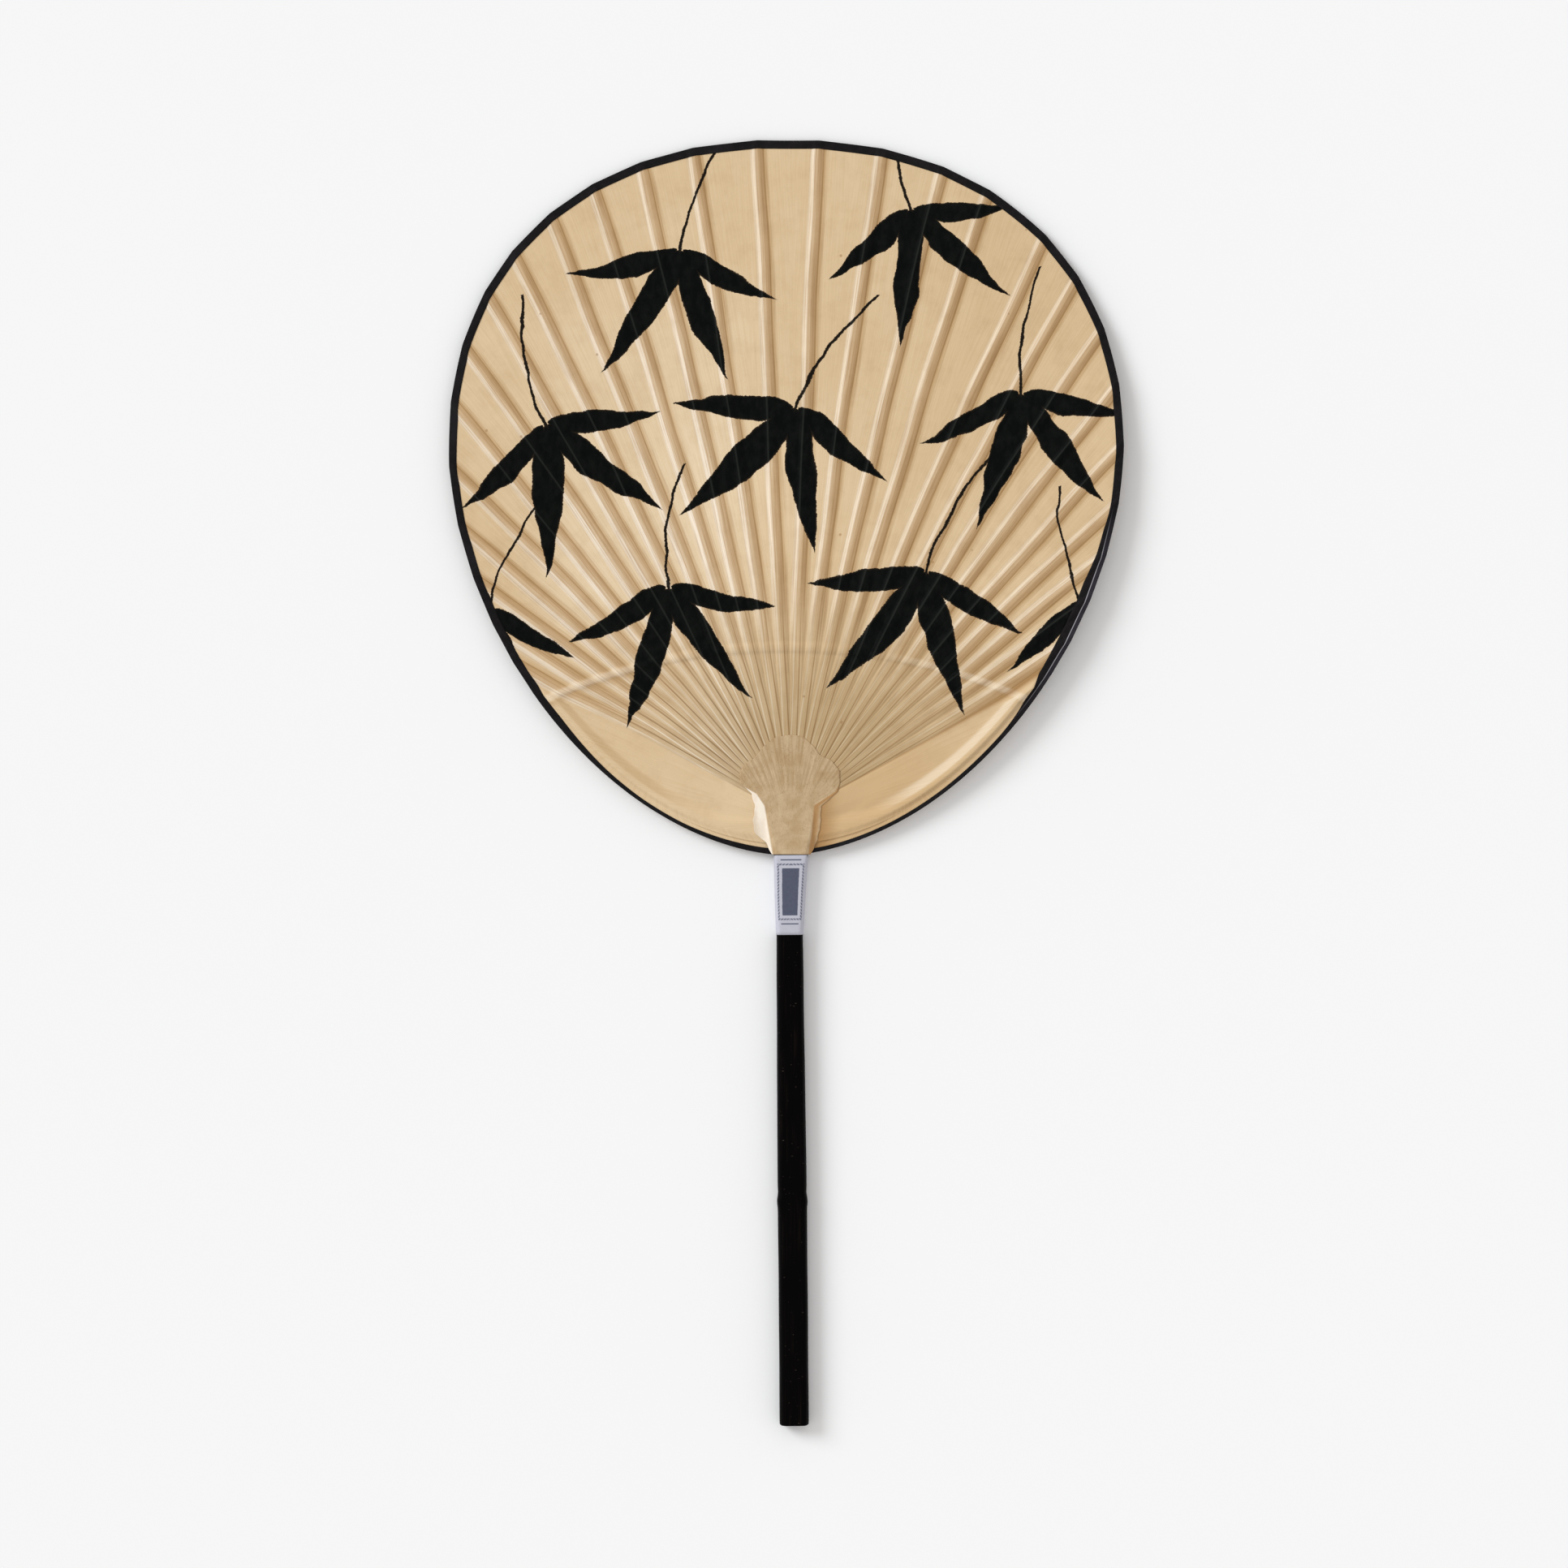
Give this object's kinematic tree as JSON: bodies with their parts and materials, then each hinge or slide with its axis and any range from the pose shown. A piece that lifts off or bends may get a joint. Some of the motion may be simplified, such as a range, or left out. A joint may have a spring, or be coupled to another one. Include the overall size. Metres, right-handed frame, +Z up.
{
  "type": "round paper hand fan",
  "caption": "Rigid round hand fan of split bamboo ribs spread over a bow, with pasted paper faces, a bound rim and a slim straight handle.",
  "frame": {"origin": "centre of the whole fan's footprint, on the surface that it lies on", "axes": "+Y from the butt of the handle towards the face, +X to the right seen from the front, +Z up out of the front face"},
  "size_m": [0.2403, 0.4582, 0.0088],
  "materials": {
    "bamboo": "bamboo, the handle in black lacquer, the ribs bare",
    "bow_bamboo": "bare shaved bamboo",
    "thread": "plain twisted cotton",
    "face_paper": "tanned mulberry paper with dark leaf shapes, matt",
    "rim_paper": "near-black paper strip, matt",
    "patch_paper": "long-fibred tan mulberry paper, matt",
    "label_paper": "smooth pale paper with a plain slate panel"
  },
  "bodies": {
    "root": {"bamboo_frame": "bamboo", "bow": "bow_bamboo", "weaving_thread": "thread", "front_paper": "face_paper", "back_paper": "face_paper", "rim_binding": "rim_paper", "front_neck_patch": "patch_paper", "back_neck_patch": "patch_paper", "label_band": "label_paper"}
  },
  "joints": []
}
